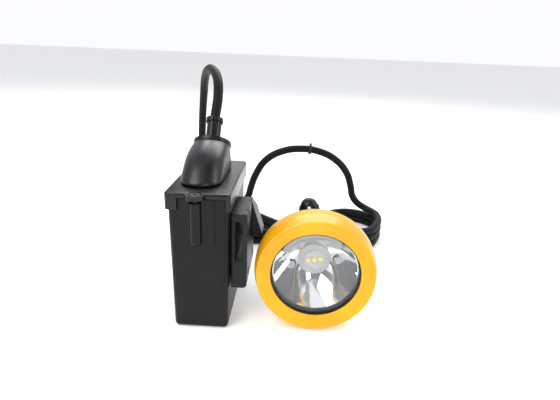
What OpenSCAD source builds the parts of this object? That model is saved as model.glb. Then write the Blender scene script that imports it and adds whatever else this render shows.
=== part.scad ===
// Corded miner's cap lamp: belt battery, cable and headpiece.
// The frame's origin is the middle of the battery's bottom face, +Z is up,
// the lamp shines towards -Y and the headpiece stands on the +X side of the battery.

/* [Battery case] */
// Thickness of the case under the cover, along X
case_thick = 36; // [36:0.5:40]
// Width of the case under the cover, along Y
case_width = 79; // [79:0.5:84]
// Height of the case's shoulder, where the cover's skirt stops
shoulder_z = 82; // [82:0.5:86]
// How much thinner the case is at its foot
case_taper = 1.3; // [0.4:0.1:2]
// Wall of the case
case_wall = 2.3; // [2:0.1:2.6]

/* [Battery cover] */
// Thickness of the cover along X
cover_thick = 39; // [39:0.5:43]
// Width of the cover along Y
cover_width = 82; // [82:0.5:87]
// Depth of the cover from its top face to the skirt's edge
cover_depth = 10.4; // [10:0.1:11]
// Thickness of the cover's top plate
cover_plate = 3; // [2.6:0.1:3.2]
// Width of the hood that the cable leaves by
hood_width = 26; // [25:0.5:28]
// Lean of the hood's mouth from level
hood_lean = 33; // [28:1:36]
// Radius of the lock screw's head
lock_head_r = 3.1; // [2.8:0.1:3.2]

/* [Belt bracket] */
// Height of the bracket
bracket_h = 51; // [48:1:54]
// Length of the bracket along the belt
bracket_len = 44; // [40:1:48]
// Thickness of the bracket, from the case to its outer face
bracket_thick = 10; // [10:0.5:12]
// Clear width of the belt's tunnel
belt_gap = 4.6; // [4.4:0.1:5]
// Clear height of the belt's tunnel
belt_h = 27; // [25:0.5:28]

/* [Headpiece] */
// Outer radius of the yellow bezel
bezel_r = 39.3; // [39:0.1:41]
// Radius of the bezel's front ridge
ridge_r = 37.4; // [37:0.1:38]
// Radius of the bezel's opening
opening_r = 28.6; // [28.3:0.1:29]
// Depth of the bezel along the lamp's axis
bezel_depth = 21; // [21:0.1:21.3]
// Roll of the standing headpiece about its own axis
head_roll = 9; // [0:1:15]
// Thickness of the window
lens_thick = 2.6; // [2:0.1:2.7]
// Radius of the reflector's rim
reflector_r = 26.8; // [26:0.1:27]
// Radius of the reflector's hole round the LED
reflector_hole_r = 11.2; // [11.1:0.1:11.6]
// Distance of each small LED from the axis
small_led_offset = 15.5; // [15:0.1:17]
// Overall depth of the headpiece without its hook and cable
head_depth = 48.5; // [48.5:0.5:52]

/* [Push button] */
// Radius of the rubber boot
boot_r = 5.9; // [5.6:0.1:6]
// Travel of the button
button_travel = 1.5; // [1:0.1:1.5]

/* [Helmet hook] */
// Width of the hook's tongue
hook_w = 20; // [18:1:22]
// Clear gap behind the tongue
hook_gap = 4.6; // [4.4:0.1:5]
// Thickness of the steel
hook_steel = 1.5; // [1.2:0.1:1.8]

/* [Cable] */
// Diameter of the cable
cord_d = 7; // [6.5:0.1:7]
// Height of the bundled hank
hank_h = 21; // [20:0.5:22]

/* [Hidden] */
$fn = 64;
eps = 0.01;
hull_fn = 24;

// Battery
rim_z = shoulder_z + 6.4;
top_z = shoulder_z + 0.2 + cover_depth;
plate_z = top_z - cover_plate;
rim_thick = cover_thick - 4.6;
rim_width = cover_width - 4.6;
rim_wall = 1.5;
case_floor = 3;
corner_r = 3;
panel_y = cover_width / 2;
panel_half = 9.75;
panel_foot = shoulder_z - 22.5;
strip_foot = shoulder_z - 15.5;
lock_x = -1;
lock_y = panel_y + 0.2;
boss_r = 3.6;
boss_top = rim_z - 1;
insert_r = 2.4;
insert_h = 8;
screw_r = 1.45;
thread_r = 1.5;
ear_x = -12;
window_x = 16.6;

// Hood and its gland, along the mouth's normal
hood_x = -2;
hood_r = hood_width / 2;
mouth = [hood_x, 18, shoulder_z + 26];
collar_r = 12.4;
collar_bore = 9.7;
nut_r = 12.8;
nut_bore = 5.15;
sleeve_r = 5;
sleeve_len = 20;

// Cells and board
cell_r = 9.2;
cell_h = 65.2;
cell_z = 6.5;
cell_pitch = 21.5;
board_z = cell_z + cell_h + 4.5;

// Belt bracket
bracket_x = case_thick / 2 + 0.3;
bracket_foot = 26;
bracket_front = -30;
base_thick = 2.3;
tunnel_z = bracket_foot + 18.8;
bracket_round = 3;
pad_r = 4;
bracket_screw_at = [
  [-22, bracket_foot + 9], [6, bracket_foot + 9],
  [-22, bracket_foot + bracket_h - 2.9], [-4, bracket_foot + bracket_h - 2.9]
];

// Headpiece: distances d run backwards along the axis from the bezel's front plane
head_x = 72;
head_y = -35.7;
lip_d = 2.2;
seat_d = 5.2;
lens_r = 31.2;
lens_d = 5.3;
flange_d = 8.1;
flange_t = 1;
focus = 8.5;
vertex_d = flange_d + reflector_r * reflector_r / (4 * focus);
led_d = 25.6;
shell_r = 30.5;
shell_wall = 2.5;
shell_front_d = 9.2;
button_d = 35.7;
boss_top_r = 33.4;
plunger_r = 1.8;
gland_drop = 16.5;
gland_len = 19.5;
hook_d = head_depth + 0.1;

// Cable: centre lines from the battery's sleeve to the headpiece's gland
cord_r = cord_d / 2;
cord_sides = 10;
arch_route = [
  [-2, 28.9, 124.8], [-1.5, 39, 139], [-4, 52, 150], [-10, 68, 155.5], [-18, 88, 155],
  [-25, 108, 147], [-30, 125, 132], [-33, 136, 112], [-34, 141, 88], [-33, 142, 62],
  [-31.5, 140, 38], [-31, 138, 21]
];
loop_route = [
  [13.5, 138, 21], [14, 139, 38], [18, 140, 54], [28, 142, 69], [44, 144, 78],
  [62, 145, 81], [80, 146, 79], [97, 148, 71], [111, 150, 57], [118, 152, 40], [120, 154, 21]
];
tail_route = [[74.3, 35.2, 23], [74.5, 48, 22.5], [76.5, 61, 21], [80.5, 74, 18.5], [86, 86.6, 16.5]];
waist = [62, 100];
waist_r = 12;
left_lobe = [-10, 118];
left_r = 36;
right_far = [116, 134];
right_near = [112, 112];
right_r = 30;
tie_w = 7;
tie_t = 1.2;

// ---- Shared shapes ----

module rounded_bar(x, y, r, z0, z1) {
  // Upright bar with rounded edges, centred on the Z axis
  translate([0, 0, z0])
    linear_extrude(z1 - z0)
      union() {
        square([x - 2 * r, y], center = true);
        square([x, y - 2 * r], center = true);
        for (sx = [-1, 1], sy = [-1, 1])
          translate([sx * (x / 2 - r), sy * (y / 2 - r)])
            circle(r);
      }
}

module tapered_bar(x0, y0, x1, y1, r, z0, z1) {
  // Upright bar that widens from its foot, with rounded corners and foot edges
  hull() {
    for (sx = [-1, 1], sy = [-1, 1]) {
      translate([sx * (x0 / 2 - r), sy * (y0 / 2 - r), z0 + r])
        sphere(r, $fn = hull_fn);
      translate([sx * (x1 / 2 - r), sy * (y1 / 2 - r), z1 - 1])
        cylinder(r = r, h = 1, $fn = hull_fn);
    }
  }
}

module both_ends() {
  // Draws its children at the front end and again at the back end
  for (end = [0, 1])
    mirror([0, end, 0])
      children();
}

module at_mouth(t) {
  // Local +Z leaves the hood's mouth; t is the distance beyond the mouth
  translate(mouth)
    rotate([-hood_lean, 0, 0])
      translate([0, 0, t])
        children();
}

module in_head() {
  // Local +Z runs backwards along the lamp's axis and local -Y points to the button
  translate([head_x, head_y, bezel_r])
    rotate([0, -head_roll, 0])
      rotate([-90, 0, 0])
        children();
}

module radial(d) {
  // Local +Z leaves the headpiece through the button, at depth d
  translate([0, 0, d])
    rotate([90, 0, 0])
      children();
}

// ---- Battery ----

module battery_case() {
  color([0.1, 0.1, 0.1])
    difference() {
      union() {
        tapered_bar(case_thick - case_taper, case_width - 2, case_thick, case_width,
                    corner_r, 0, shoulder_z);
        rounded_bar(rim_thick, rim_width, 2, shoulder_z - 2, rim_z);
        both_ends() {
          front_panel();
          lock_boss();
        }
        for (at = bracket_screw_at)
          bracket_pad(at);
      }
      tapered_bar(case_thick - case_taper - 2 * case_wall, case_width - 2 - 2 * case_wall,
                  rim_thick - 2 * rim_wall, rim_width - 2 * rim_wall, 1.5, case_floor, rim_z - 5);
      rounded_bar(rim_thick - 2 * rim_wall, rim_width - 2 * rim_wall, 1.5, rim_z - 6, rim_z + 1);
      rounded_bar(rim_thick + 0.2, rim_width + 0.2, 2, rim_z, rim_z + 2);
      both_ends()
        translate([lock_x, -lock_y, boss_top - insert_h])
          cylinder(r = insert_r, h = insert_h + 3);
      for (at = bracket_screw_at)
        translate([case_thick / 2 - 5, at.x, at.y])
          rotate([0, 90, 0])
            cylinder(r = insert_r, h = 10);
    }
}

module front_panel() {
  // Proud panel with round lower corners, and a flatter strip on each side of it
  translate([0, -panel_y + 4, 0])
    rotate([90, 0, 0])
      linear_extrude(4)
        union() {
          translate([-panel_half, panel_foot + 3])
            square([2 * panel_half, plate_z - 0.3 - panel_foot - 3]);
          translate([-panel_half + 3, panel_foot])
            square([2 * panel_half - 6, 4]);
          for (side = [-1, 1])
            translate([side * (panel_half - 3), panel_foot + 3])
              circle(3);
        }
  translate([ear_x + 0.3, -panel_y + 0.9, strip_foot])
    cube([window_x - ear_x - 0.6, 3.2, plate_z - 0.3 - strip_foot]);
}

module lock_boss() {
  translate([lock_x, -lock_y, panel_foot + 4]) {
    cylinder(r = boss_r, h = boss_top - panel_foot - 4);
    sphere(boss_r);
  }
}

module bracket_pad(at) {
  // Boss through the wall for one bracket screw
  translate([case_thick / 2 - 5, at.x, at.y])
    rotate([0, 90, 0])
      cylinder(r = pad_r, h = 5.2);
}

module battery_cover() {
  color([0.07, 0.07, 0.07])
    difference() {
      union() {
        rounded_bar(cover_thick, cover_width, 2.5, shoulder_z + 0.2, top_z);
        hood(0);
        both_ends()
          translate([lock_x, -lock_y + 0.4, plate_z])
            cylinder(r = 6, h = cover_plate);
      }
      rounded_bar(rim_thick + 0.4, rim_width + 0.4, 2, shoulder_z, plate_z);
      both_ends() {
        translate([ear_x, -panel_y - 8, shoulder_z])
          cube([window_x - ear_x, 12, plate_z - shoulder_z]);
        translate([lock_x, -lock_y, shoulder_z])
          cylinder(r = 1.8, h = 20);
        translate([lock_x, -lock_y, top_z - 2.2])
          cylinder(r = lock_head_r + 0.5, h = 5);
      }
      hood(2.2);
      at_mouth(-16)
        cylinder(r = collar_bore, h = 20);
    }
}

module hood(inset) {
  // Egg-shaped cowl; inset shrinks it to make the space inside
  hull() {
    for (y = [-18.5, 20])
      translate([hood_x, y, plate_z - (inset > 0 ? 1 : 0)])
        cylinder(r = hood_r - inset, h = 1.5, $fn = hull_fn);
    translate([hood_x, -10, shoulder_z + 15.3])
      sphere(hood_r - 0.8 - inset, $fn = hull_fn);
    translate([hood_x, 2, shoulder_z + 20])
      sphere(hood_r - 1.2 - inset, $fn = hull_fn);
    at_mouth(-1.5 - inset)
      cylinder(r = collar_r - inset, h = 1.5, $fn = hull_fn);
  }
}

module cover_seal() {
  color([0.15, 0.15, 0.15])
    difference() {
      rounded_bar(rim_thick, rim_width, 2, rim_z, plate_z);
      rounded_bar(rim_thick - 2 * rim_wall, rim_width - 2 * rim_wall, 1.5, rim_z - 1, plate_z + 1);
    }
}

module cells() {
  color([0.2, 0.45, 0.6])
    for (i = [-1, 0, 1])
      translate([0, i * cell_pitch, cell_z])
        cylinder(r = cell_r, h = cell_h);
}

module cell_trays() {
  color([0.85, 0.85, 0.8])
    for (z = [cell_z + 0.4, cell_z + cell_h - 8.4])
      difference() {
        rounded_bar(23, 66, 3, z, z + 8);
        for (i = [-1, 0, 1])
          translate([0, i * cell_pitch, z - 1])
            cylinder(r = cell_r + 0.05, h = 10);
      }
}

module nickel_strips() {
  color([0.75, 0.75, 0.72])
    for (z = [cell_z - 0.25, cell_z + cell_h + 0.05])
      translate([-3.5, -cell_pitch - 6, z])
        cube([7, 2 * cell_pitch + 12, 0.2]);
}

module foam_pads() {
  color([0.3, 0.3, 0.3]) {
    translate([-11, -32, case_floor + 0.2])
      cube([22, 64, cell_z - case_floor - 0.6]);
    translate([-11, -31, cell_z + cell_h + 0.3])
      cube([22, 62, board_z - cell_z - cell_h - 0.4]);
  }
}

module protection_board() {
  color([0.05, 0.3, 0.15])
    translate([-11.5, -31, board_z])
      cube([23, 62, 1.6]);
}

module board_parts() {
  color([0.1, 0.1, 0.12])
    for (part = [[-9, -27, 5, 6], [-9, -18, 5, 6], [2, -27, 6, 4], [3, -18, 4, 7],
                 [-8, 17, 9, 5], [4, 18, 5, 8]])
      translate([part[0], part[1], board_z + 1.6])
        cube([part[2], part[3], 1.5]);
}

module battery_leads() {
  for (side = [-1, 1])
    color(side < 0 ? [0.7, 0.05, 0.05] : [0.05, 0.05, 0.05])
      tube([[side * 5 + hood_x, -6, board_z + 2.4], [side * 4 + hood_x, -3, board_z + 8],
            [side * 2 + hood_x, 5, shoulder_z + 8], [side * 1.6 + hood_x, 9, shoulder_z + 12]],
           [1, 0, 0], 1.2);
}

module lock_screws() {
  color([0.72, 0.7, 0.66])
    both_ends()
      translate([lock_x, -lock_y, 0]) {
        difference() {
          translate([0, 0, top_z - 2.15])
            cylinder(r = lock_head_r, h = 1.9);
          translate([0, 0, top_z - 1.4])
            cylinder(r = 1.6, h = 3, $fn = 3);
        }
        translate([0, 0, boss_top - 6])
          cylinder(r = screw_r, h = top_z - 2 - boss_top + 6);
      }
}

module lock_inserts() {
  color([0.8, 0.65, 0.3])
    both_ends()
      translate([lock_x, -lock_y, boss_top - insert_h])
        difference() {
          cylinder(r = insert_r, h = insert_h);
          translate([0, 0, 1])
            cylinder(r = thread_r, h = insert_h);
        }
}

module bracket_outline() {
  // Section of the bracket across the belt
  translate([0, bracket_round])
    square([bracket_thick, bracket_h - bracket_round]);
  square([bracket_thick - bracket_round, bracket_round + 1]);
  translate([bracket_thick - bracket_round, bracket_round])
    circle(bracket_round);
}

module belt_bracket() {
  color([0.12, 0.12, 0.12])
    difference() {
      union() {
        translate([bracket_x, bracket_front + bracket_len, bracket_foot])
          rotate([90, 0, 0])
            linear_extrude(bracket_len)
              bracket_outline();
        wing();
      }
      translate([bracket_x + base_thick, bracket_front - 1, tunnel_z])
        cube([belt_gap, bracket_len + 2, belt_h]);
      bracket_corner();
      for (at = bracket_screw_at)
        translate([bracket_x, at.x, at.y])
          rotate([0, 90, 0]) {
            translate([0, 0, -1])
              cylinder(r = 1.7, h = bracket_thick + 2);
            translate([0, 0, bracket_thick - 2.4])
              cylinder(r = 2.9, h = 12);
          }
    }
}

module wing() {
  // Ramp on the outer face that keeps the belt's free end in place
  translate([bracket_x + bracket_thick - 0.1, 14, bracket_foot + 24])
    rotate([90, 0, 0])
      linear_extrude(16)
        polygon([[0, 0], [7.3, 0], [7.3, 2], [0, 25.5]]);
}

module bracket_corner() {
  // Slope that takes off the upper back corner
  translate([bracket_x - 1, 3, bracket_foot + bracket_h + 0.5])
    rotate([-40, 0, 0])
      cube([30, 30, 20]);
}

module bracket_screws() {
  color([0.7, 0.7, 0.7])
    for (at = bracket_screw_at)
      translate([bracket_x + bracket_thick - 2.35, at.x, at.y])
        rotate([0, 90, 0])
          difference() {
            union() {
              cylinder(r = 2.7, h = 1.8);
              translate([0, 0, -bracket_thick - 1.6])
                cylinder(r = screw_r, h = bracket_thick + 1.7);
            }
            translate([-2, -0.3, 1])
              cube([4, 0.6, 2]);
            translate([-0.3, -2, 1])
              cube([0.6, 4, 2]);
          }
}

module bracket_inserts() {
  color([0.8, 0.65, 0.3])
    for (at = bracket_screw_at)
      translate([case_thick / 2 - 5, at.x, at.y])
        rotate([0, 90, 0])
          difference() {
            cylinder(r = insert_r, h = 5.1);
            translate([0, 0, -1])
              cylinder(r = thread_r, h = 8);
          }
}

module gland_nut() {
  color([0.05, 0.05, 0.05])
    difference() {
      union() {
        at_mouth(0.05)
          cylinder(r = nut_r, h = 2.6);
        at_mouth(-9)
          cylinder(r = collar_bore - 0.15, h = 9.2);
      }
      at_mouth(-10)
        cylinder(r = nut_bore, h = 15);
    }
}

module gland_seal() {
  color([0.2, 0.2, 0.2])
    difference() {
      at_mouth(-13)
        cylinder(r = collar_bore - 0.3, h = 3.9);
      at_mouth(-14)
        cylinder(r = cord_r + 0.1, h = 6);
    }
}

module strain_sleeve() {
  color([0.08, 0.08, 0.08])
    difference() {
      union() {
        at_mouth(-9)
          cylinder(r = sleeve_r, h = sleeve_len + 9);
        at_mouth(sleeve_len - 3)
          cylinder(r = sleeve_r + 0.85, h = 3);
      }
      at_mouth(-10)
        cylinder(r = cord_r + 0.1, h = sleeve_len + 12);
      at_mouth(4)
        translate([-0.35, -8, 0])
          cube([0.7, 8, sleeve_len]);
    }
}

// ---- Headpiece ----

module bezel() {
  color([0.98, 0.74, 0.08])
    in_head()
      difference() {
        rotate_extrude()
          polygon([
            [opening_r, lip_d], [opening_r + 0.6, lip_d - 0.5], [ridge_r - 1.2, 0.1], [ridge_r - 0.4, 0],
            [ridge_r + 0.1, 0.5], [bezel_r - 0.6, 5.5], [bezel_r, 9.8], [bezel_r, 16],
            [bezel_r - 0.3, 18.6], [bezel_r - 0.9, bezel_depth - 0.8], [bezel_r - 1.8, bezel_depth],
            [36.7, bezel_depth], [36.7, 9.4], [33, 9.1], [33, 8], [32, seat_d - 0.8],
            [opening_r, seat_d - 0.8]
          ]);
        for (i = [0 : 7])
          rotate(22.5 + 45 * i)
            translate([0, -bezel_r, bezel_depth])
              cube([3, 2.6, 3.2], center = true);
        radial(20)
          translate([0, 0, 33])
            cylinder(r = 1.9, h = 10);
        translate([-1.9, -bezel_r - 2, 20])
          cube([3.8, 8, 5]);
      }
}

module bezel_gasket() {
  color([0.03, 0.03, 0.03])
    in_head()
      rotate_extrude()
        polygon([
          [opening_r - 0.7, lip_d + 0.6], [opening_r - 0.1, lip_d + 0.6], [opening_r - 0.1, seat_d - 0.75],
          [31.5, seat_d - 0.75], [31.5, seat_d], [opening_r - 0.7, seat_d]
        ]);
}

module lens() {
  color([0.8, 0.9, 0.95, 0.4])
    in_head()
      translate([0, 0, lens_d])
        cylinder(r = lens_r, h = lens_thick);
}

function bowl_d(r) = vertex_d - r * r / (4 * focus);

module reflector() {
  radii = [for (i = [0 : 8]) reflector_r + (reflector_hole_r - reflector_r) * i / 8];
  color([0.85, 0.87, 0.9])
    in_head()
      difference() {
        rotate_extrude()
          polygon(concat(
            [for (r = radii) [r, bowl_d(r)]],
            [for (i = [8 : -1 : 0]) [radii[i] + 0.5, bowl_d(radii[i]) + 1]],
            [[31, flange_d + flange_t], [31, flange_d]]
          ));
        for (side = [-1, 1])
          translate([side * small_led_offset, 0, 12])
            cylinder(r = 2.8, h = 20);
      }
}

module led_board() {
  color([0.9, 0.9, 0.88])
    in_head()
      translate([0, 0, led_d])
        cylinder(r = reflector_hole_r - 0.3, h = 1.6);
}

module led_package() {
  color([0.95, 0.95, 0.92])
    in_head()
      translate([0, 0, led_d - 0.8])
        cylinder(r = 7, h = 0.8);
}

module led_dies() {
  color([0.95, 0.85, 0.2])
    in_head()
      for (i = [-1, 0, 1])
        translate([4 * i - 1.2, -1.2, led_d - 1.3])
          cube([2.4, 2.4, 0.5]);
}

module small_leds() {
  color([0.9, 0.93, 0.95])
    in_head()
      for (side = [-1, 1])
        translate([side * small_led_offset, 0, 20.5]) {
          cylinder(r = 2.5, h = 5);
          sphere(2.5);
          for (leg = [-1.27, 1.27])
            translate([leg - 0.25, -0.25, 5])
              cube([0.5, 0.5, 1.7]);
        }
}

module heat_sink() {
  color([0.7, 0.71, 0.73])
    in_head()
      difference() {
        translate([0, 0, led_d + 1.65])
          cylinder(r = 26.5, h = 4);
        for (i = [0 : 5])
          rotate(60 * i + 30)
            translate([20, 0, led_d])
              cylinder(r = 2.5, h = 10);
      }
}

module driver_board() {
  color([0.05, 0.35, 0.2])
    in_head()
      translate([0, 0, 36])
        cylinder(r = 19.5, h = 1.6);
}

module driver_parts() {
  color([0.1, 0.1, 0.12])
    in_head() {
      translate([-9, -9, 37.6])
        cube([6, 6, 3]);
      translate([2, -10, 37.6])
        cube([8, 5, 2]);
      translate([-4, 3, 37.6])
        cube([5, 4, 1.6]);
      translate([0, 0, 31.3])
        cylinder(r = 4, h = 4.7);
    }
}

module rear_shell() {
  shell_in = shell_r - shell_wall;
  color([0.06, 0.06, 0.06])
    in_head()
      difference() {
        union() {
          rotate_extrude()
            polygon([
              [29.6, shell_front_d], [36.3, shell_front_d + 0.3], [36.3, 14], [35, 14], [35, 15.8],
              [36.3, 15.8], [36.3, 21.3], [37.2, 21.3], [37.2, 23.2], [shell_r + 1, 25.5],
              [shell_r, 27], [shell_r, 36], [25.5, head_depth - 1.5], [23.5, head_depth],
              [0, head_depth], [0, head_depth - 2.5], [22.3, head_depth - 2.5], [23.4, 45],
              [shell_in, 35.4], [shell_in, 25.5], [32, 22.8], [32, 11.5], [29.6, 11.5]
            ]);
          radial(button_d)
            translate([0, 0, 28.6])
              cylinder(r1 = 7.4, r2 = 7, h = boss_top_r - 28.6);
        }
        radial(button_d) {
          translate([0, 0, 31.4])
            cylinder(r = boot_r + 0.4, h = 5);
          translate([0, 0, 20])
            cylinder(r = plunger_r + 0.4, h = 20);
        }
        radial(20)
          translate([0, 0, 33.6])
            cylinder(r = 1.15, h = 6);
        translate([0, gland_drop, head_depth - 4])
          cylinder(r = cord_r + 0.1, h = 6);
        for (side = [-1, 1])
          translate([side * 13.5, -2, head_depth - 4])
            cylinder(r = thread_r, h = 6);
      }
}

module shell_o_ring() {
  color([0.02, 0.02, 0.02])
    in_head()
      translate([0, 0, 14.9])
        rotate_extrude()
          translate([35.85, 0])
            circle(0.75);
}

module bezel_lock_pin() {
  color([0.8, 0.8, 0.8])
    in_head()
      radial(20) {
        translate([0, 0, 33.7])
          cylinder(r = 1.1, h = 5);
        translate([0, 0, bezel_r - 0.6])
          sphere(1.4);
      }
}

module switch_body() {
  color([0.15, 0.15, 0.17])
    in_head()
      radial(button_d)
        translate([-3.1, -3.1, 22])
          cube([6.2, 6.2, 4]);
}

module button_collar() {
  color([0.05, 0.05, 0.05])
    in_head()
      radial(button_d)
        translate([0, 0, boss_top_r])
          difference() {
            cylinder(r1 = 7, r2 = 6.7, h = 1.6);
            translate([0, 0, -1])
              cylinder(r = boot_r + 0.4, h = 4);
          }
}

module button_boot() {
  color([0.1, 0.1, 0.1])
    in_head()
      radial(button_d)
        difference() {
          union() {
            translate([0, 0, boss_top_r])
              cylinder(r = boot_r, h = 1.3);
            translate([0, 0, boss_top_r + 1.3])
              sphere(boot_r);
          }
          translate([0, 0, boss_top_r + 1.3])
            sphere(boot_r - 1.5);
          translate([-10, -10, boss_top_r - 10.1])
            cube([20, 20, 10.1]);
          translate([0, 0, boss_top_r - 1])
            cylinder(r = boot_r - 1.5, h = 2.3);
        }
}

module button_plunger() {
  color([0.8, 0.8, 0.78])
    in_head()
      radial(button_d)
        translate([0, 0, 26.3 + button_travel])
          cylinder(r = plunger_r, h = boss_top_r + boot_r - 0.6 - 26.3 - button_travel);
}

module cap_hook() {
  color([0.6, 0.61, 0.63])
    in_head()
      difference() {
        union() {
          translate([-17.5, -8, hook_d])
            cube([35, 12, hook_steel]);
          translate([-hook_w / 2, -14, hook_d])
            cube([hook_w, 7, hook_steel]);
          translate([-hook_w / 2, -14, hook_d])
            cube([hook_w, hook_steel, hook_gap + 2 * hook_steel]);
          translate([-hook_w / 2, -14, hook_d + hook_gap + hook_steel])
            cube([hook_w, 20, hook_steel]);
        }
        for (side = [-1, 1])
          translate([side * 13.5, -2, hook_d - 1])
            cylinder(r = 1.7, h = 4);
      }
}

module hook_screws() {
  color([0.7, 0.7, 0.7])
    in_head()
      for (side = [-1, 1])
        translate([side * 13.5, -2, 0])
          difference() {
            union() {
              translate([0, 0, hook_d + hook_steel + 0.02])
                cylinder(r = 2.7, h = 1.8);
              translate([0, 0, head_depth - 4.5])
                cylinder(r = screw_r, h = 7);
            }
            translate([-2, -0.3, hook_d + hook_steel + 1])
              cube([4, 0.6, 2]);
            translate([-0.3, -2, hook_d + hook_steel + 1])
              cube([0.6, 4, 2]);
          }
}

module head_gland() {
  color([0.06, 0.06, 0.06])
    in_head()
      translate([0, gland_drop, head_depth + 0.1])
        difference() {
          union() {
            cylinder(r = 6, h = 3);
            translate([0, 0, 3])
              cylinder(r1 = 5.7, r2 = 4.6, h = gland_len - 3);
          }
          translate([0, 0, -1])
            cylinder(r = cord_r + 0.1, h = gland_len + 2);
        }
}

module head_leads() {
  for (side = [-1, 1])
    color(side < 0 ? [0.7, 0.05, 0.05] : [0.05, 0.05, 0.05])
      in_head()
        tube([[side * 1.5, gland_drop, head_depth - 1], [side * 2.5, 14, 43.5],
              [side * 4, 10, 40.5], [side * 5, 9, 38.2]], [1, 0, 0], 1);
}

// ---- Cable ----

function unit(v) = v / norm(v);

function between(p0, p1, p2, p3, t) =
  0.5 * (2 * p1 + (p2 - p0) * t + (2 * p0 - 5 * p1 + 4 * p2 - p3) * t * t
         + (3 * p1 - p0 - 3 * p2 + p3) * t * t * t);

function smooth(route) = [
  for (i = [0 : len(route) - 2], t = [0, 0.5])
    between(route[max(i - 1, 0)], route[i], route[i + 1], route[min(i + 2, len(route) - 1)], t),
  route[len(route) - 1]
];

module tube(route, side, r = cord_r) {
  // Round tube along a route that never runs parallel to side
  path = smooth(route);
  last = len(path) - 1;
  rings = [
    for (i = [0 : last])
      let (heading = unit(path[min(i + 1, last)] - path[max(i - 1, 0)]))
        let (across = unit(cross(heading, side)))
          let (above = cross(across, heading))
            for (k = [0 : cord_sides - 1])
              path[i] + r * (cos(360 * k / cord_sides) * across
                             + sin(360 * k / cord_sides) * above)
  ];
  walls = [
    for (i = [0 : last - 1], k = [0 : cord_sides - 1])
      let (next = (k + 1) % cord_sides)
        [i * cord_sides + k, i * cord_sides + next,
         (i + 1) * cord_sides + next, (i + 1) * cord_sides + k]
  ];
  start = [for (k = [cord_sides - 1 : -1 : 0]) k];
  finish = [for (k = [0 : cord_sides - 1]) last * cord_sides + k];
  polyhedron(points = rings, faces = concat([start, finish], walls));
}

module cord_arch() {
  color([0.08, 0.08, 0.08])
    tube(arch_route, [1, 0, 0]);
}

module cord_loop() {
  color([0.08, 0.08, 0.08])
    tube(loop_route, [0, 1, 0]);
}

module cord_tail() {
  color([0.08, 0.08, 0.08])
    tube(tail_route, [1, 0, 0]);
}

module hank_outline(inset) {
  hull() {
    translate(left_lobe)
      circle(left_r - inset);
    translate(waist)
      circle(waist_r - min(inset, 4));
  }
  hull() {
    translate(right_far)
      circle(right_r - inset);
    translate(right_near)
      circle(right_r - 2 - inset);
    translate(waist)
      circle(waist_r - min(inset, 4));
  }
}

module cord_hank() {
  color([0.08, 0.08, 0.08])
    difference() {
      linear_extrude(hank_h)
        hank_outline(0);
      translate([left_lobe.x, left_lobe.y, -1])
        cylinder(r = 16, h = hank_h + 2);
      hull()
        for (at = [right_far, right_near])
          translate([at.x, at.y, -1])
            cylinder(r = 10, h = hank_h + 2);
      translate([waist.x - tie_w / 2 - 1, waist.y - 20, -1])
        cube([tie_w + 2, 40, 1 + tie_t + 0.2]);
    }
}

module hank_tie() {
  color([0.05, 0.05, 0.05])
    difference() {
      translate([waist.x - tie_w / 2, waist.y - waist_r - tie_t - 1.5, 0])
        cube([tie_w, 2 * (waist_r + tie_t + 1.5), hank_h + tie_t + 0.1]);
      translate([waist.x - tie_w, waist.y - waist_r - 1.5, tie_t])
        cube([2 * tie_w, 2 * (waist_r + 1.5), hank_h - tie_t + 0.05]);
    }
}

module cord_band() {
  // Small tie on the standing loop, with its twisted end upwards
  color([0.04, 0.04, 0.04])
    translate([71, 145.5, 80.5])
      rotate([0, 95, 0])
        difference() {
          union() {
            cylinder(r = cord_r + 1, h = 2.6, center = true);
            translate([-cord_r - 2.8, -0.9, -0.9])
              cube([2.4, 1.8, 1.8]);
          }
          cylinder(r = cord_r + 0.15, h = 4, center = true);
        }
}

battery_case();
battery_cover();
cover_seal();
cells();
cell_trays();
nickel_strips();
foam_pads();
protection_board();
board_parts();
battery_leads();
lock_screws();
lock_inserts();
belt_bracket();
bracket_screws();
bracket_inserts();
gland_nut();
gland_seal();
strain_sleeve();
bezel();
bezel_gasket();
lens();
reflector();
led_board();
led_package();
led_dies();
small_leds();
heat_sink();
driver_board();
driver_parts();
rear_shell();
shell_o_ring();
bezel_lock_pin();
switch_body();
button_collar();
button_boot();
button_plunger();
cap_hook();
hook_screws();
head_gland();
head_leads();
cord_arch();
cord_loop();
cord_tail();
cord_hank();
hank_tie();
cord_band();
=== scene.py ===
"""Miner's cap lamp: battery with its cable hood, coiled cable, and amber headpiece."""
import math

import bmesh
import bpy
from mathutils import Matrix, Vector


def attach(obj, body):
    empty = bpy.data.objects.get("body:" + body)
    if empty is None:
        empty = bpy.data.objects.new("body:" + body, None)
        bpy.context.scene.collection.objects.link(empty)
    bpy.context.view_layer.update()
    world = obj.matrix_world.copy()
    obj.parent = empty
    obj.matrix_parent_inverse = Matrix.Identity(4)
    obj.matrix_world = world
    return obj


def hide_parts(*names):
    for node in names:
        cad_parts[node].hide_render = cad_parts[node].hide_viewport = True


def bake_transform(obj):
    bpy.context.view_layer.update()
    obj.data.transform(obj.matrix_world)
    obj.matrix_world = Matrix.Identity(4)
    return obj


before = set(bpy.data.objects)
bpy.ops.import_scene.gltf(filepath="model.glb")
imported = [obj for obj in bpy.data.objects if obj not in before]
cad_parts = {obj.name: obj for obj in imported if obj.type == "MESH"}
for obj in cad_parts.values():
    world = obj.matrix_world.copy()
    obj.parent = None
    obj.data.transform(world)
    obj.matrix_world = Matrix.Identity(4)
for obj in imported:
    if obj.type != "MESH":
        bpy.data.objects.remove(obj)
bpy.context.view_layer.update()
MM = 0.001


def mm(*point):
    """A point given in millimetres, in metres."""
    return Vector(point) * MM


# ---- Camera ----

CAMERA_PLACE = (0.0535, -0.2667, 0.1711)


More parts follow.
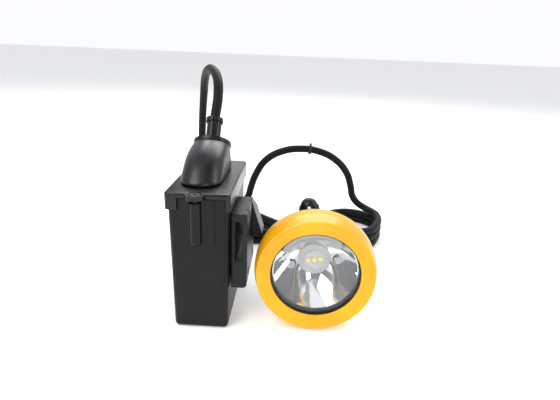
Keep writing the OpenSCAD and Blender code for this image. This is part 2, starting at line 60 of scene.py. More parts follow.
def aim_camera():
    """Looks down on the lamp from in front, turned a little to the left and tipped."""
    yaw, down, roll = -0.025, 0.339, 0.042
    ahead = Vector((math.sin(yaw) * math.cos(down), math.cos(yaw) * math.cos(down),
                    -math.sin(down)))
    level = Vector((math.cos(yaw), -math.sin(yaw), 0))
    above = level.cross(ahead)
    right = level * math.cos(roll) + above * math.sin(roll)
    up = above * math.cos(roll) - level * math.sin(roll)
    data = bpy.data.cameras.new("camera")
    data.lens, data.sensor_width = 27, 36
    data.clip_start, data.clip_end = 0.01, 20
    camera = bpy.data.objects.new("camera", data)
    turn = Matrix((right, up, -ahead)).transposed().to_4x4()
    camera.matrix_world = Matrix.Translation(CAMERA_PLACE) @ turn
    bpy.context.scene.collection.objects.link(camera)
    bpy.context.scene.camera = camera


aim_camera()

# ---- Shader helper ----


class Value:
    """A shader socket that takes part in Python sums."""

    def __init__(self, shader, socket):
        self.shader, self.socket = shader, socket

    def sum_with(self, operation, *terms):
        return self.shader.node("ShaderNodeMath", {"operation": operation},
                                dict(enumerate(terms)))

    def __add__(self, other):
        return self.sum_with("ADD", self, other)

    def __sub__(self, other):
        return self.sum_with("SUBTRACT", self, other)

    def __rsub__(self, other):
        return self.sum_with("SUBTRACT", other, self)

    def __mul__(self, other):
        return self.sum_with("MULTIPLY", self, other)

    __radd__, __rmul__ = __add__, __mul__


class Shader:
    """Builds one material with a Principled surface."""

    def __init__(self, name):
        self.material = bpy.data.materials.new(name)
        self.material.use_nodes = True
        self.tree = self.material.node_tree
        self.surface = self.tree.nodes["Principled BSDF"]
        self.place = self.node("ShaderNodeTexCoord", out="Object")

    def node(self, kind, settings=None, inputs=None, out=0):
        made = self.tree.nodes.new(kind)
        for key, setting in (settings or {}).items():
            setattr(made, key, setting)
        for key, value in (inputs or {}).items():
            self.feed(made.inputs[key], value)
        return Value(self, made.outputs[out])

    def feed(self, socket, value):
        if isinstance(value, Value):
            self.tree.links.new(value.socket, socket)
        else:
            socket.default_value = value

    def noise(self, scale, detail=3, place=None):
        return self.node("ShaderNodeTexNoise", None,
                         {"Vector": place or self.place, "Scale": scale, "Detail": detail})

    def stretched(self, *scale):
        return self.node("ShaderNodeMapping", None, {"Vector": self.place, "Scale": scale})

    def step(self, value, low, high):
        """0 below low, 1 above high, smooth between."""
        return self.node("ShaderNodeMapRange", {"interpolation_type": "SMOOTHSTEP"},
                         {0: value, 1: low, 2: high})

    def mix(self, mask, first, second):
        return self.node("ShaderNodeMix", {"data_type": "RGBA"},
                         {0: mask, 6: first, 7: second}, out=2)

    def bump(self, height, depth, onto=None):
        inputs = {"Height": height, "Distance": depth, "Strength": 1.0}
        if onto:
            inputs["Normal"] = onto
        return self.node("ShaderNodeBump", None, inputs)

    def finish(self, **sockets):
        for key, value in sockets.items():
            self.feed(self.surface.inputs[key.replace("_", " ")], value)
        return self.material


def grey(level, tint=0.0):
    return (level, level, level * (1 + tint), 1)


def soft_edges(shader, reach):
    """The normal of an edge rounded by a moulding radius."""
    return shader.node("ShaderNodeBevel", {"samples": 6}, {"Radius": reach})


def painted_edge_highlight(shader):
    """1 on sharp edges, 0 elsewhere: where an edge highlight is painted."""
    rounded = shader.node("ShaderNodeBevel", {"samples": 4}, {"Radius": 0.0006})
    flat = shader.node("ShaderNodeNewGeometry", out="Normal")
    along = shader.node("ShaderNodeVectorMath", {"operation": "DOT_PRODUCT"},
                        {0: rounded, 1: flat}, out="Value")
    return shader.step(1 - along, 0.004, 0.05)


def handling(shader):
    """Patches rubbed by hands, flecks of dust, and a smear drawn out up and down."""
    patches = shader.step(shader.noise(38, 4), 0.42, 0.72)
    flecks = shader.step(shader.noise(900, 2), 0.68, 0.74)
    smear = shader.noise(14, 5, shader.stretched(1, 1, 0.35))
    return patches, flecks, smear


def moulded(name, dark, light, rough, grain=0.00001, scale=2600, coat=0.0, specular=0.3,
            edge=0.0):
    """Injection-moulded plastic: fine spark-eroded grain, handling marks and a little dust."""
    s = Shader(name)
    patches, flecks, smear = handling(s)
    flecks = flecks * 0.5
    colour = s.mix(patches * 0.6 + flecks * 0.4, dark, light)
    roughness = smear * 0.16 + patches * 0.05 + flecks * 0.12 + (rough - 0.1)
    normal = s.bump(s.noise(scale, 2), grain, onto=soft_edges(s, edge) if edge else None)
    return s.finish(Base_Color=colour, Roughness=roughness, Normal=normal,
                    Coat_Weight=coat, Coat_Roughness=0.12, Specular_IOR_Level=specular)


PANEL_FOOT = (0.0592, 0.0598)  # heights between which the shinier panel starts
PANEL_SIDE = (0.0000945, 0.0000965)  # squares of the half widths between which it ends


def case_plastic():
    """Satin case with a shinier panel round the lock, handling marks, and painted light making it
    paler low down.
    """
    s = Shader("satin black case")
    height = s.node("ShaderNodeSeparateXYZ", None, {0: s.place}, out="Z")
    across = s.node("ShaderNodeSeparateXYZ", None, {0: s.place}, out="X")
    panel = s.step(height, *PANEL_FOOT) * (1 - s.step(across * across, *PANEL_SIDE))
    # Painted light: the colour grows paler towards the bottom of the case.
    low = 1 - s.step(height, 0.0, 0.06)
    patches, flecks, smear = handling(s)
    scuffs = s.step(s.noise(260, 3, s.stretched(1, 1, 0.12)), 0.64, 0.72)
    # Handling wear, dust and scuffs, plus the painted light low down.
    wear_and_painted_light = patches * 0.3 + flecks * 0.2 + scuffs * 0.2 + low * 0.35
    roughness = (smear * 0.16 + patches * 0.04 + flecks * 0.1 + scuffs * 0.06 + 0.26
                 - panel * 0.14)
    normal = s.bump(s.noise(2600, 2), 0.000008, onto=soft_edges(s, 0.0007))
    return s.finish(Base_Color=s.mix(wear_and_painted_light, grey(0.002, 0.06), grey(0.012, 0.06)),
                    Roughness=roughness, Normal=normal, Specular_IOR_Level=0.24)


def metal(name, dark, light, rough, stretch=(1, 1, 1)):
    """Bare metal: fine tool lines, closest where stretch is greatest, and a cloudy film."""
    s = Shader(name)
    lines = s.noise(900, 3, s.stretched(*stretch))
    cloud = s.noise(60, 4)
    colour = s.mix(lines * 0.5 + cloud * 0.5, dark, light)
    return s.finish(Base_Color=colour, Metallic=1.0,
                    Roughness=lines * 0.18 + cloud * 0.14 + (rough - 0.14),
                    Normal=s.bump(lines, 0.000008))


def rubber(name, dark, light, rough, grain=0.00001, scale=1500):
    s = Shader(name)
    bloom = s.step(s.noise(45, 5), 0.45, 0.75)
    dust = s.step(s.noise(1300, 2), 0.66, 0.74)
    return s.finish(Base_Color=s.mix(bloom * 0.6 + dust * 0.4, dark, light),
                    Roughness=bloom * 0.12 + s.noise(300, 2) * 0.12 + (rough - 0.08),
                    Normal=s.bump(s.noise(scale, 3), grain), Specular_IOR_Level=0.3)


def amber_plastic():
    s = Shader("amber bezel plastic")
    depth = s.noise(26, 4)
    colour = s.mix(s.step(depth, 0.35, 0.7), (0.80, 0.36, 0.002, 1), (0.88, 0.44, 0.003, 1))
    scuffs = s.step(s.noise(420, 3, s.stretched(1, 3, 1)), 0.63, 0.72)
    edge = painted_edge_highlight(s)
    # Pale amber on scuffs, which is real wear, and on sharp edges as a painted highlight.
    colour = s.mix(scuffs * 0.18 + edge * 0.3, colour, (0.97, 0.62, 0.08, 1))
    fine = s.bump(s.noise(1800, 2), 0.000012)
    return s.finish(Base_Color=colour, Roughness=scuffs * 0.15 + depth * 0.14 + edge * 0.08 + 0.26,
                    Normal=s.bump(s.noise(90, 3), 0.00004, onto=fine),
                    Coat_Weight=0.08, Coat_Roughness=0.15, Specular_IOR_Level=0.35)


def clear_window():
    s = Shader("clear polycarbonate window")
    smudge = s.step(s.noise(55, 5), 0.5, 0.8)
    hairlines = s.step(s.noise(900, 2, s.stretched(1, 1, 0.05)), 0.66, 0.72)
    return s.finish(Base_Color=(0.9, 0.94, 0.97, 1), Alpha=smudge * 0.03 + hairlines * 0.04 + 0.08,
                    Roughness=smudge * 0.08 + 0.02, IOR=1.58, Specular_IOR_Level=0.8)


def mirror_coat():
    s = Shader("vacuum-coated mirror")
    haze = s.noise(30, 4)
    ripple = s.noise(120, 2)
    return s.finish(Base_Color=s.mix(haze, (0.78, 0.79, 0.8, 1), (0.93, 0.93, 0.94, 1)),
                    Metallic=1.0, Roughness=haze * 0.05 + 0.03,
                    Normal=s.bump(ripple, 0.00005))


def solder_mask():
    s = Shader("white circuit board")
    print_grain = s.noise(700, 3)
    return s.finish(Base_Color=s.mix(print_grain, (0.4, 0.41, 0.42, 1), (0.55, 0.55, 0.53, 1)),
                    Roughness=print_grain * 0.2 + 0.4, Normal=s.bump(print_grain, 0.00001))


def phosphor():
    s = Shader("yellow phosphor")
    grain = s.noise(2600, 3)
    # The emission paints a faint glow into the phosphor.
    return s.finish(Base_Color=s.mix(grain, (0.85, 0.55, 0.01, 1), (1.0, 0.75, 0.04, 1)),
                    Roughness=grain * 0.2 + 0.4, Normal=s.bump(grain, 0.00002),
                    Emission_Color=(1.0, 0.66, 0.05, 1), Emission_Strength=0.35)


def led_dome():
    s = Shader("frosted package silicone")
    frost = s.noise(240, 4)
    return s.finish(Base_Color=s.mix(frost, (0.48, 0.51, 0.53, 1), (0.66, 0.66, 0.63, 1)),
                    Roughness=frost * 0.2 + 0.15, Normal=s.bump(frost, 0.00003), Coat_Weight=0.6,
                    Coat_Roughness=0.05)


def clear_resin():
    s = Shader("clear epoxy")
    flow = s.noise(300, 2)
    return s.finish(Base_Color=s.mix(flow, (0.75, 0.8, 0.86, 1), (0.9, 0.93, 0.97, 1)),
                    Alpha=flow * 0.1 + 0.42, Roughness=flow * 0.05 + 0.04,
                    Normal=s.bump(flow, 0.00002), IOR=1.5, Specular_IOR_Level=0.9)


def cable_jacket():
    """Neoprene sheath with a fine grain and chalky handling marks."""
    s = Shader("cable sheath rubber")
    bloom = s.step(s.noise(60, 5), 0.45, 0.72)
    grain = s.noise(1100, 2)
    dust = s.step(s.noise(1600, 2), 0.66, 0.73)
    colour = s.mix(bloom * 0.5 + dust * 0.5, grey(0.004, 0.05), grey(0.014, 0.08))
    return s.finish(Base_Color=colour, Roughness=bloom * 0.1 + grain * 0.12 + 0.46,
                    Normal=s.bump(grain, 0.000015), Specular_IOR_Level=0.16)


black_case = case_plastic()
black_cover = moulded("glossy black cover", grey(0.003, 0.05), grey(0.008, 0.1), 0.26,
                      grain=0.000004, coat=0.06, specular=0.34)
hood_black = moulded("satin black hood", grey(0.003, 0.2), grey(0.008, 0.2), 0.33,
                     grain=0.000006, specular=0.42)
charcoal = moulded("charcoal bracket", grey(0.006, 0.04), grey(0.014, 0.05), 0.34,
                   grain=0.00002, scale=1700, edge=0.0009)
shell_black = moulded("headpiece shell black", grey(0.005, 0.04), grey(0.012, 0.06), 0.36,
                      grain=0.00002, edge=0.0004)
boot_rubber = rubber("button boot rubber", grey(0.004), grey(0.012), 0.36)
seal_rubber = rubber("seal rubber", grey(0.004), grey(0.01), 0.5)
strap_nylon = rubber("strap nylon", grey(0.012), grey(0.035), 0.62, grain=0.00006, scale=2600)
steel = metal("stainless steel", grey(0.5), grey(0.68), 0.26, (1, 1, 14))
black_steel = metal("blackened steel", grey(0.03), grey(0.09), 0.36)
brass = metal("turned brass", (0.55, 0.38, 0.14, 1), (0.72, 0.53, 0.24, 1), 0.3)
aluminium = metal("machined aluminium", grey(0.6), grey(0.75), 0.34, (14, 1, 14))
nickel = metal("nickel strip", grey(0.48, -0.08), grey(0.62, -0.06), 0.3)
cable_rubber = cable_jacket()
inner_plastic = moulded("natural tray plastic", (0.6, 0.6, 0.55, 1), (0.72, 0.72, 0.66, 1), 0.4)
cell_wrap = moulded("shrink sleeve", (0.03, 0.16, 0.28, 1), (0.05, 0.22, 0.36, 1), 0.3)
foam = moulded("grey foam", grey(0.18), grey(0.3), 0.85, grain=0.0002, scale=1200)
board = moulded("green board", (0.01, 0.09, 0.03, 1), (0.02, 0.14, 0.05, 1), 0.35)
parts_black = moulded("component epoxy", grey(0.015), grey(0.03), 0.45)
wire_red = moulded("wire sleeve", (0.3, 0.01, 0.01, 1), (0.4, 0.02, 0.02, 1), 0.4)

mirror, package, board_white = mirror_coat(), led_dome(), solder_mask()

FINISHES = {
    black_case: ["battery_case"],
    charcoal: ["belt_bracket"],
    shell_black: ["rear_shell", "gland_nut", "head_gland", "button_collar", "switch_body"],
    boot_rubber: ["button_boot", "strain_sleeve"],
    seal_rubber: ["cover_seal", "gland_seal", "bezel_gasket", "shell_o_ring"],
    black_steel: ["lock_screws", "bracket_screws"],
    steel: ["bezel_lock_pin", "cap_hook", "hook_screws", "button_plunger"],
    brass: ["lock_inserts", "bracket_inserts"],
    aluminium: ["heat_sink"],
    nickel: ["nickel_strips"],
    amber_plastic(): ["bezel"],
    clear_window(): ["lens"],
    board_white: ["led_board"],
    phosphor(): ["led_dies"],
    clear_resin(): ["small_leds"],
    inner_plastic: ["cell_trays"],
    cell_wrap: ["cells"],
    foam: ["foam_pads"],
    board: ["protection_board", "driver_board"],
    parts_black: ["board_parts", "driver_parts"],
    wire_red: ["battery_leads", "head_leads"],
}
for finish, names in FINISHES.items():
    for name in names:
        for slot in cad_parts[name].material_slots:
            slot.material = finish


# ---- Mesh helpers: sizes and places are in millimetres ----

def piece_from(bm, name, finish, body, stands_for=(), sharp=35):
    """A bmesh made into a smooth-shaded piece, riding on a body where one is given."""
    bmesh.ops.remove_doubles(bm, verts=bm.verts, dist=1e-7)
    bmesh.ops.recalc_face_normals(bm, faces=bm.faces)
    mesh = bpy.data.meshes.new(name)
    bm.to_mesh(mesh)
    bm.free()
    mesh.shade_smooth()
    mesh.set_sharp_from_angle(angle=math.radians(sharp))
    mesh.materials.append(finish)
    made = bpy.data.objects.new(name, mesh)
    bpy.context.scene.collection.objects.link(made)
    if body:
        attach(made, body)
    if stands_for:
        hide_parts(*stands_for)
    return made


def within(bm, verts):
    """The edges that have both ends among some vertices."""
    group = set(verts)
    return [e for e in bm.edges if set(e.verts) <= group]


def box(bm, size):
    """The corners of a new box about the origin."""
    made = bmesh.ops.create_cube(bm, size=1)["verts"]
    bmesh.ops.scale(bm, verts=made, vec=mm(*size))
    return made


def bevel(bm, edges, offset, segments):
    bmesh.ops.bevel(bm, geom=edges, offset=offset * MM, segments=segments, affect="EDGES",
                    profile=0.5, material=-1)


def bridge(bm, rings):
    """Faces from each ring of edges to the next."""
    for ring, after in zip(rings, rings[1:]):
        ends = set(ring), set(after)
        open_edges = [e for e in bm.edges if len(e.link_faces) < 2]
        bmesh.ops.bridge_loops(bm, edges=[e for e in open_edges
                                          if any(set(e.verts) <= end for end in ends)])


# ---- Cable: the route of its centre, with the bundled turns in three layers ----

CABLE_RADIUS = 3.5
LAYER = 7.3  # from one layer of turns to the next
LOW = CABLE_RADIUS + 0.25
MIDDLE, HIGH = LOW + LAYER, LOW + 2 * LAYER
LEFT_LOBE, RIGHT_FAR, RIGHT_NEAR = (-10, 118), (116, 134), (112, 112)
LOBE_RADIUS, NEAR_RADIUS = 26, 24.5

ARCH = [(-2, 23.45, 116.4), (-2, 28.9, 124.8), (-1.5, 39, 139), (-4, 52, 150), (-10, 68, 155.5),
        (-18, 88, 155), (-25, 108, 147), (-30, 125, 132), (-34, 137, 112), (-36.5, 143.5, 88),
        (-37.5, 147, 62), (-36.5, 149, 40), (-32, 150.5, 22), (-22, 151.6, 9)]
ARCH_FOOT = [(-8, 151, 4.7)]
STANDING_LOOP = [(-9, 144, 18.6), (2.5, 144.2, 21.4), (10, 142, 29), (13, 140, 39.5),
                 (18, 140, 54), (28, 142, 69), (44, 144, 78), (62, 145, 81), (80, 146, 79),
                 (97, 148, 71), (110, 150.5, 57), (115.5, 151.5, 43), (118.5, 153, 32),
                 (124.5, 153.5, 24.2), (132.5, 150, 20), (139, 143, 18.7)]
TAIL = [(98.5, 85, 18), (90, 79.2, 18.4), (82.5, 71.5, 19.4), (77, 60.5, 21.2), (74.8, 48, 22.8),
        (74.3, 38, 23), (74.3, 30.5, 23)]


def around(centre, radius, degrees, height, climb=0.0):
    """Points round a lobe of the hank, climbing evenly in its second half."""
    last = max(len(degrees) - 1, 1)
    return [(centre[0] + radius * math.cos(math.radians(angle)),
             centre[1] + radius * math.sin(math.radians(angle)),
             height + climb * max(0, 2 * i / last - 1)) for i, angle in enumerate(degrees)]


def back_run(height):
    """From the left lobe's back, through the tie, to the right lobe's far side."""
    return [(14, 139.5, height), (36, 122, height), (52, 108, height + 0.7),
            (62, 104.2, height + 1.2), (74, 106.8, height + 0.7), (84, 114.5, height + 0.2),
            (90, 127, height)]


def front_run(height):
    """From the right lobe's near side, through the tie, to the left lobe's front."""
    return [(92, 90.5, height), (76, 94.5, height + 0.7), (62, 96.5, height + 1.2),
            (42, 93.5, height + 0.6), (20, 91, height)]


def right_turn(height):
    return (around(RIGHT_FAR, LOBE_RADIUS, (150, 115, 80, 45, 10), height)
            + around(RIGHT_NEAR, NEAR_RADIUS, (-20, -55, -90), height))


def left_turn(height, degrees):
    return around(LEFT_LOBE, LOBE_RADIUS, degrees, height, climb=LAYER)


cable_route = (
    ARCH + ARCH_FOOT + back_run(LOW) + right_turn(LOW) + front_run(LOW)
    + left_turn(LOW, (-90, -125, -160, -195, -230, -265))
    + back_run(MIDDLE) + right_turn(MIDDLE) + front_run(MIDDLE)
    + left_turn(MIDDLE, (-90, -125, -160, -195, -222, -243)) + STANDING_LOOP
    + around(RIGHT_FAR, LOBE_RADIUS, (0,), HIGH)
    + around(RIGHT_NEAR, NEAR_RADIUS, (-20, -55), HIGH) + [(110, 88, HIGH)] + TAIL)


def lay_cable(name, route, radius):
    """A round cable as a mesh, with the points that its centre follows."""
    data = bpy.data.curves.new(name, "CURVE")
    data.dimensions, data.resolution_u = "3D", 8
    line = data.splines.new("BEZIER")
    line.bezier_points.add(len(route) - 1)
    for knot, point in zip(line.bezier_points, route):
        knot.co = mm(*point)
        knot.handle_left_type = knot.handle_right_type = "AUTO"
    guide = bpy.data.objects.new("guide", data)
    bpy.context.scene.collection.objects.link(guide)
    meshes = []
    for depth in (0, radius * MM):
        data.bevel_depth, data.bevel_resolution, data.use_fill_caps = depth, 6, depth > 0
        bpy.context.view_layer.update()
        view = bpy.context.evaluated_depsgraph_get()
        meshes.append(bpy.data.meshes.new_from_object(guide.evaluated_get(view)))
    bpy.data.objects.remove(guide)
    centre, tube = meshes
    bm = bmesh.new()
    bm.from_mesh(tube)
    made = piece_from(bm, name, cable_rubber, None, sharp=60)
    return made, [v.co[:] for v in centre.vertices]


cable, cable_line = lay_cable("lamp_cable", cable_route, CABLE_RADIUS)
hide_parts("cord_arch", "cord_loop", "cord_tail", "cord_hank")
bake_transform(cable)


# ---- Hank tie: a nylon strap round the cable's waist ----

TIE_CENTRE = (100.2, 8.6)  # y, z
TIE_HALF = (8.2, 7.5)  # half width, half height
TIE_RINGS = [  # x, swell: the outside from left to right, then the inside back again
    (58.6, 0.0), (58.9, 0.5), (60, 0.75), (64, 0.75), (65.1, 0.5), (65.4, 0.0),
    (65.1, -0.45), (64, -0.6), (60, -0.6), (58.9, -0.45)]
BUCKLE_SIZE, BUCKLE_CENTRE = (6.4, 10, 3.4), (62, 98.5, 17.1)


def squashed_ring(bm, x, swell):
    """A rounded-rectangle ring of edges, standing across the X axis."""
    ring = bmesh.ops.create_circle(bm, segments=40, radius=1)["verts"]
    for v in ring:
        across, high = (math.copysign(abs(at) ** 0.62, at) for at in v.co[:2])
        v.co = mm(x, TIE_CENTRE[0] + across * (TIE_HALF[0] + swell),
                  TIE_CENTRE[1] + high * (TIE_HALF[1] + swell))
    return ring


def make_tie():
    bm = bmesh.new()
    rings = [squashed_ring(bm, x, swell) for x, swell in TIE_RINGS]
    bridge(bm, rings + rings[:1])
    buckle = box(bm, BUCKLE_SIZE)
    bmesh.ops.translate(bm, verts=buckle, vec=mm(*BUCKLE_CENTRE))
    bevel(bm, within(bm, buckle), 0.8, 3)
    return piece_from(bm, "hank_strap", strap_nylon, "battery", ["hank_tie"])


strap = make_tie()


# ---- Battery cover and its cable hood ----

COVER_SIZE, COVER_CENTRE = (39, 82, 10.4), (0, 0, 87.4)
INSIDE_SIZE, INSIDE_CENTRE = (34.9, 77.9, 10.4), (0, 0, 84.4)
SKIRT_GAP, GAP_X, GAP_Y, GAP_Z = (28.6, 12, 11), 2.3, 43, 84.1  # cut from the skirt's two ends
LOCK_X, BOSS_Y, SCREW_Y = -1, 40.8, 41.2
BOSS = (6, 89.7, 92.45)  # radius, bottom, top
SCREW_HEAD_HOLE, SCREW_HOLE = (3.6, 90.4, 96), (1.9, 80, 96)

HOOD_X, HOOD_POINTS = -2, 56
HOOD_RINGS = [  # front (y, z), back (y, z), half width
    ((-31.2, 92.2), (32.8, 92.2), 13.0), ((-31.0, 93.6), (32.8, 93.4), 13.0),
    ((-27.5, 97.2), (32.4, 95.2), 12.95), ((-22.6, 102.0), (31.7, 96.8), 12.8),
    ((-16.8, 106.8), (31.0, 98.0), 12.65), ((-10.0, 109.9), (30.3, 99.2), 12.5),
    ((-2.5, 112.6), (29.5, 100.2), 12.45), ((4.0, 114.2), (28.8, 100.9), 12.4),
    ((7.3, 115.0), (28.5, 101.3), 12.4), ((7.9, 114.9), (28.1, 101.6), 12.0),
    ((8.3, 114.6), (27.7, 101.8), 11.6)]
HOOD_BORE = [((9.3, 113.95), (26.7, 102.5), 10.3), ((8.0, 110.2), (25.0, 99.2), 10.0),
             ((6.0, 104.0), (22.5, 93.5), 9.8)]


def rounded_block(bm, size, centre, corner, top=0.0):
    """A box with rounded upright edges, and rounded top edges where top is given."""
    made = box(bm, size)
    bmesh.ops.translate(bm, verts=made, vec=mm(*centre))
    upright = [e for e in within(bm, made)
               if abs(e.verts[0].co.z - e.verts[1].co.z) > 1e-6]
    bevel(bm, upright, corner, 8)
    if top:
        high = (centre[2] + size[2] / 2) * MM
        bevel(bm, [e for e in bm.edges if all(abs(v.co.z - high) < 1e-6 for v in e.verts)],
              top, 4)


def tool(build):
    """A throwaway solid for cutting or joining."""
    bm = bmesh.new()
    build(bm)
    bmesh.ops.recalc_face_normals(bm, faces=bm.faces)
    mesh = bpy.data.meshes.new("tool")
    bm.to_mesh(mesh)
    bm.free()
    made = bpy.data.objects.new("tool", mesh)
    bpy.context.scene.collection.objects.link(made)
    return made


def block(size, centre, corner, top=0.0):
    return tool(lambda bm: rounded_block(bm, size, centre, corner, top))


def drum(size, y):
    """An upright cylinder in line with the locks."""
    radius, low, high = size
    middle = Matrix.Translation(mm(LOCK_X, y, (high + low) / 2))
    return tool(lambda bm: bmesh.ops.create_cone(
        bm, cap_ends=True, segments=40, radius1=radius * MM, radius2=radius * MM,
        depth=(high - low) * MM, matrix=middle))


def carve(body, steps):
    """Joins or cuts each tool in turn, and gives the result as a bmesh."""
    for operation, cutter in steps:
        change = body.modifiers.new("carve", "BOOLEAN")
        change.operation, change.object, change.solver = operation, cutter, "EXACT"
    bpy.context.view_layer.update()
    view = bpy.context.evaluated_depsgraph_get()
    bm = bmesh.new()
    bm.from_mesh(body.evaluated_get(view).to_mesh())
    for used in [body] + [cutter for _, cutter in steps]:
        mesh = used.data
        bpy.data.objects.remove(used)
        bpy.data.meshes.remove(mesh)
    return bm


def hood_ring(bm, front, back, half):
    """A stadium outline from its front point to its back point, tilted with them."""
    front, back = Vector((0, *front)), Vector((0, *back))
    centre, reach = (front + back) / 2, (back - front).length / 2
    along = (back - front).normalized()
    ring = bmesh.ops.create_circle(bm, segments=HOOD_POINTS, radius=half)["verts"]
    half_step = Matrix.Rotation(math.pi / HOOD_POINTS, 3, "Z")
    bmesh.ops.rotate(bm, verts=ring, cent=(0, 0, 0), matrix=half_step)
    for v in ring:
        side = max(reach - half, 0) * (1 if v.co.y > 0 else -1)
        v.co = (Vector((HOOD_X + v.co.x, 0, 0)) + centre + along * (v.co.y + side)) * MM
    return ring


def make_hood():
    bm = bmesh.new()
    rings = [hood_ring(bm, *ring) for ring in HOOD_RINGS + HOOD_BORE]
    bridge(bm, rings)
    for end in (rings[0], rings[-1]):
        bmesh.ops.contextual_create(bm, geom=within(bm, end))
    made = piece_from(bm, "cable_hood", hood_black, "battery",
                      ["battery_cover"], sharp=55)
    smooth = made.modifiers.new("smooth", "SUBSURF")
    smooth.levels = smooth.render_levels = 1


def make_cover():
    body = block(COVER_SIZE, COVER_CENTRE, 2.6, top=1.1)
    steps = [("UNION", drum(BOSS, side * BOSS_Y)) for side in (-1, 1)]
    steps += [("DIFFERENCE", block(INSIDE_SIZE, INSIDE_CENTRE, 2))]
    for side in (-1, 1):
        steps += [("DIFFERENCE", block(SKIRT_GAP, (GAP_X, side * GAP_Y, GAP_Z), 0.4)),
                  ("DIFFERENCE", drum(SCREW_HEAD_HOLE, side * SCREW_Y)),
                  ("DIFFERENCE", drum(SCREW_HOLE, side * SCREW_Y))]
    made = piece_from(carve(body, steps), "battery_cover", black_cover, "battery",
                      ["battery_cover"], sharp=30)
    edge = made.modifiers.new("soft edges", "BEVEL")
    edge.width, edge.segments, edge.limit_method = 0.35 * MM, 3, "ANGLE"
    edge.angle_limit, edge.use_clamp_overlap = math.radians(50), True


make_hood()
make_cover()


# ---- Headpiece: depths run back from the bezel's front ----

HEAD_X, HEAD_Z, HEAD_FRONT, ROLL = 72, 39.3, -35.7, math.radians(9)
BOWL_THROAT, BOWL_STEP, BOWL_POINTS = 11.2, 0.78, 21
BOWL_BOTTOM, BOWL_CURVE, BOWL_WALL = 29.2, 34, 0.8
BOWL_LIP = [(27.4, 8.05), (27.6, 8.3)]
PACKAGE = [  # radius, depth
    (0.0, 24.78), (4.5, 24.78), (4.8, 24.5), (5.3, 24.45), (5.6, 24.75), (6.5, 24.8),
    (6.9, 24.95), (7.0, 25.2), (7.0, 25.55), (0.0, 25.55)]
CUP = [(2.62, 23.4), (2.62, 21.3), (2.8, 21.0), (3.2, 21.0), (3.4, 21.3), (3.4, 23.4), (2.62, 23.4)]
CUP_ACROSS = 15.5
PAD_SIZE, PAD_PITCH, PAD_DEPTH = (3.5, 0.22, 4.2), 4, 24.72
BAND_CENTRE, BAND_TILT = (71, 145.5, 80.4), math.radians(95)
BAND = [  # radius, place along the cable
    (3.45, -1.3), (4.1, -1.35), (4.45, -0.9), (4.5, 0), (4.45, 0.9), (4.1, 1.35), (3.45, 1.3)]
BAND_TWIST = [(-4.6, 1.25), (-5.9, 1.0)]  # place, radius


def in_head(across, up, depth):
    """A point in the headpiece's own directions, in metres."""
    return mm(HEAD_X + across * math.cos(ROLL) - up * math.sin(ROLL), HEAD_FRONT + depth,
              HEAD_Z + across * math.sin(ROLL) + up * math.cos(ROLL))


def turned(bm, profile, across=0.0, steps=96):
    """A profile of (radius, depth) pairs turned about an axis that runs front to back."""
    line = [bm.verts.new(in_head(across, 0, depth) + mm(radius, 0, 0))
            for radius, depth in profile]
    edges = [bm.edges.new(pair) for pair in zip(line, line[1:])]
    bmesh.ops.spin(bm, geom=line + edges, cent=in_head(across, 0, 0), axis=(0, 1, 0),
                   angle=2 * math.pi, steps=steps, use_merge=True)


def make_reflector():
    bm = bmesh.new()
    radii = [BOWL_THROAT + k * BOWL_STEP for k in range(BOWL_POINTS)]
    bowl = [(radius, BOWL_BOTTOM - radius ** 2 / BOWL_CURVE) for radius in radii]
    back = [(radius, depth + BOWL_WALL) for radius, depth in reversed(bowl)]
    turned(bm, bowl + BOWL_LIP + back + [bowl[0]], steps=128)
    piece_from(bm, "mirror_bowl", mirror, "headpiece", ["reflector"], sharp=50)


def make_led_package():
    bm = bmesh.new()
    turned(bm, PACKAGE, steps=64)
    piece_from(bm, "main_led_package", package, "headpiece", ["led_package"],
               sharp=50)


def make_small_led_cups():
    bm = bmesh.new()
    for side in (-1, 1):
        turned(bm, CUP, across=side * CUP_ACROSS, steps=40)
    piece_from(bm, "small_led_cups", shell_black, "headpiece", sharp=50)


def make_emitter_pads():
    """White ceramic pads under the three emitters."""
    bm = bmesh.new()
    for place in (-1, 0, 1):
        made = box(bm, PAD_SIZE)
        bmesh.ops.rotate(bm, verts=made, cent=(0, 0, 0), matrix=Matrix.Rotation(-ROLL, 3, "Y"))
        bmesh.ops.translate(bm, verts=made, vec=in_head(place * PAD_PITCH, 0, PAD_DEPTH))
    bevel(bm, bm.edges[:], 0.09, 2)
    piece_from(bm, "emitter_pads", board_white, "headpiece", sharp=40)


def make_cable_band():
    """A small tie on the standing loop, with its twisted end upwards."""
    bm = bmesh.new()
    line = [bm.verts.new(mm(0, radius, along)) for radius, along in BAND]
    edges = [bm.edges.new(pair) for pair in zip(line, line[1:] + line[:1])]
    bmesh.ops.spin(bm, geom=line + edges, cent=(0, 0, 0), axis=(0, 0, 1),
                   angle=2 * math.pi, steps=32, use_merge=True)
    for along, radius in BAND_TWIST:
        bmesh.ops.create_icosphere(bm, subdivisions=3, radius=radius * MM,
                                   matrix=Matrix.Translation(mm(along, 0, 0)))
    bmesh.ops.rotate(bm, verts=bm.verts, cent=(0, 0, 0),
                     matrix=Matrix.Rotation(BAND_TILT, 3, "Y"))
    bmesh.ops.translate(bm, verts=bm.verts, vec=mm(*BAND_CENTRE))
    return piece_from(bm, "cable_band", strap_nylon, "battery",
                      ["cord_band"], sharp=50)


make_reflector()
make_emitter_pads()
band = make_cable_band()
make_led_package()
make_small_led_cups()


# ---- Studio ----

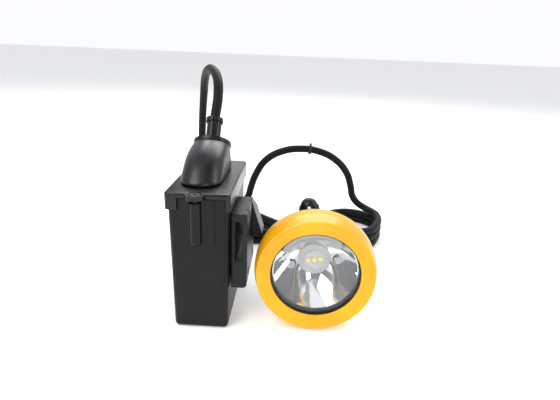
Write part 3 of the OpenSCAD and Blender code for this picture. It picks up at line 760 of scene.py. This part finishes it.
AREA_LIGHTS = [  # name, place, target, size, power, colour
    ("key softbox", (-0.55, -0.55, 0.95), (0.02, 0, 0.05), (0.7, 0.7), 10, (1, 1, 1)),
    ("front strip", (0.45, -0.75, 0.35), (0, 0, 0.06), (0.22, 0.9), 2.5, (1, 0.99, 0.97)),
    ("side strip", (0.95, 0.05, 0.55), (0.05, 0, 0.05), (0.25, 0.8), 3, (1, 1, 1)),
    ("back softbox", (0.1, 0.95, 0.9), (0.03, 0.1, 0.03), (1.0, 0.5), 9, (0.96, 0.98, 1))]


class Sky(Shader):
    """The room round the set: white low down, and above that dark in front and in patches."""

    def __init__(self, world):
        world.use_nodes = True
        self.tree = world.node_tree
        self.surface = self.tree.nodes["Background"]
        self.place = self.node("ShaderNodeTexCoord", out="Generated")

    def build(self):
        height = self.node("ShaderNodeSeparateXYZ", None, {0: self.place}, out="Z")
        depth = self.node("ShaderNodeSeparateXYZ", None, {0: self.place}, out="Y")
        above = self.step(height, 0.16, 0.26)
        front = self.step(0 - depth, 0.15, 0.5) * (1 - self.step(height, 0.72, 0.85))
        panels = self.step(self.noise(2.6, 1), 0.5, 0.56)
        dark = above * self.node("ShaderNodeMath", {"operation": "MAXIMUM"},
                                 {0: front, 1: panels * 0.8})
        self.feed(self.surface.inputs["Color"],
                  self.mix(dark, (0.96, 0.97, 1.0, 1), (0.03, 0.032, 0.038, 1)))
        self.feed(self.surface.inputs["Strength"], 1.0)


def studio():
    scene = bpy.context.scene
    scene.view_settings.view_transform = "Standard"
    scene.world = bpy.data.worlds.new("studio")
    Sky(scene.world).build()
    bm = bmesh.new()
    bmesh.ops.create_grid(bm, x_segments=1, y_segments=1, size=40)
    mesh = bpy.data.meshes.new("floor")
    bm.to_mesh(mesh)
    bm.free()
    floor = bpy.data.objects.new("floor", mesh)
    scene.collection.objects.link(floor)
    pale = Shader("pale floor")
    mesh.materials.append(pale.finish(Base_Color=(0.9, 0.9, 0.9, 1), Roughness=0.8,
                                     Emission_Color=(1, 1, 1, 1), Emission_Strength=0.22))
    for name, place, target, size, power, tint in AREA_LIGHTS:
        data = bpy.data.lights.new(name, "AREA")
        data.shape, data.energy, data.color = "RECTANGLE", power, tint
        data.size, data.size_y = size
        lamp = bpy.data.objects.new(name, data)
        lamp.location = place
        lamp.rotation_euler = (Vector(target) - Vector(place)).to_track_quat("-Z", "Y").to_euler()
        scene.collection.objects.link(lamp)


studio()
